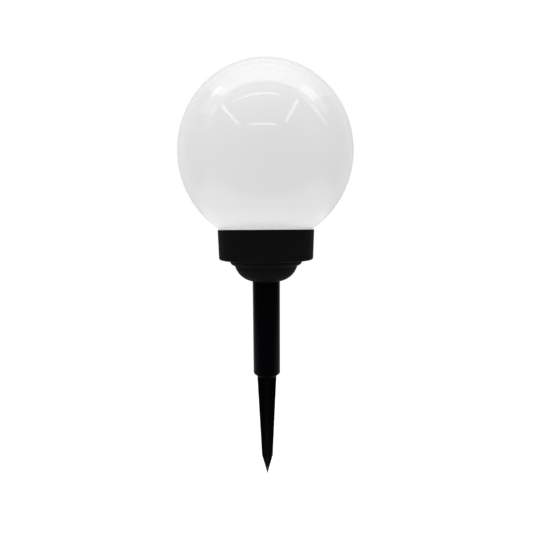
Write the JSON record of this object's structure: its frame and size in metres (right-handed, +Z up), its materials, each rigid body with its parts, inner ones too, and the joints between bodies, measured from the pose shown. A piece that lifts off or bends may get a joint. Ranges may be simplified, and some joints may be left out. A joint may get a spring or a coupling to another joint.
{
  "type": "solar spike light",
  "caption": "Opal globe light on a round base, tube stem and ground spike. A solar panel, lamps, battery and switch sit under the globe, which twists and lifts off.",
  "frame": {"origin": "on the axis at ground level, where the foot of the stem meets the spike", "axes": "+Z up along the axis, -Y towards the viewer of the picture, +X to the right"},
  "size_m": [0.15, 0.15, 0.3735],
  "materials": {
    "globe_opal": "glossy opal white",
    "base_black": "satin moulded black",
    "deck_black": "fine grained moulded black",
    "stem_black": "semi-gloss extruded black",
    "spike_black": "moulded black",
    "gasket_rubber": "soft black",
    "screw_steel": "zinc plated",
    "board_green": "solder mask",
    "cell_blue": "dark blue crystalline",
    "resin_clear": "clear cast resin",
    "lamp_clear": "clear moulded lens",
    "tinned_lead": "tinned",
    "chip_black": "moulded",
    "inductor_green": "dipped",
    "switch_steel": "nickel plated",
    "knob_black": "moulded",
    "holder_black": "moulded",
    "cell_steel": "nickel plated",
    "sleeve_green": "shrunk sleeve",
    "contact_nickel": "nickel plated",
    "wire_red": "soft insulation",
    "wire_black": "soft insulation"
  },
  "bodies": {
    "spike": {"ground_spike": "spike_black"},
    "stem": {"stem": "stem_black"},
    "head": {"base_bowl": "base_black", "housing": "base_black", "socket_screws": "screw_steel", "deck": "deck_black", "deck_screws": "screw_steel", "panel_board": "board_green", "solar_cells": "cell_blue", "panel_resin": "resin_clear", "leds": "lamp_clear", "led_leads": "tinned_lead", "circuit_board": "board_green", "board_screws": "screw_steel", "controller_chip": "chip_black", "inductor": "inductor_green", "switch_case": "switch_steel", "battery_holder": "holder_black", "holder_screws": "screw_steel", "battery_cell": "cell_steel", "battery_sleeve": "sleeve_green", "negative_plate": "contact_nickel", "positive_plate": "contact_nickel", "battery_spring": "contact_nickel", "battery_lead_red": "wire_red", "battery_lead_black": "wire_black", "panel_lead_red": "wire_red", "panel_lead_black": "wire_black"},
    "gasket": {"globe_gasket": "gasket_rubber"},
    "globe": {"globe": "globe_opal"},
    "switch": {"switch_knob": "knob_black"}
  },
  "joints": [
    {"name": "stem_lift", "type": "slide", "parent": "spike", "child": "stem", "axis": [0, 0, 1], "range_m": [0, 0.035]},
    {"name": "head_lift", "type": "slide", "parent": "stem", "child": "head", "axis": [0, 0, 1], "range_m": [0, 0.022]},
    {"name": "globe_twist", "type": "hinge", "parent": "head", "child": "gasket", "pos_m": [0, 0, 0.1329], "axis": [0, 0, 1], "range_deg": [-30, 0]},
    {"name": "globe_lift", "type": "slide", "parent": "gasket", "child": "globe", "axis": [0, 0, 1], "range_m": [0, 0.12]},
    {"name": "switch_slide", "type": "slide", "parent": "head", "child": "switch", "axis": [0, 1, 0], "range_m": [0, 0.0025]}
  ]
}
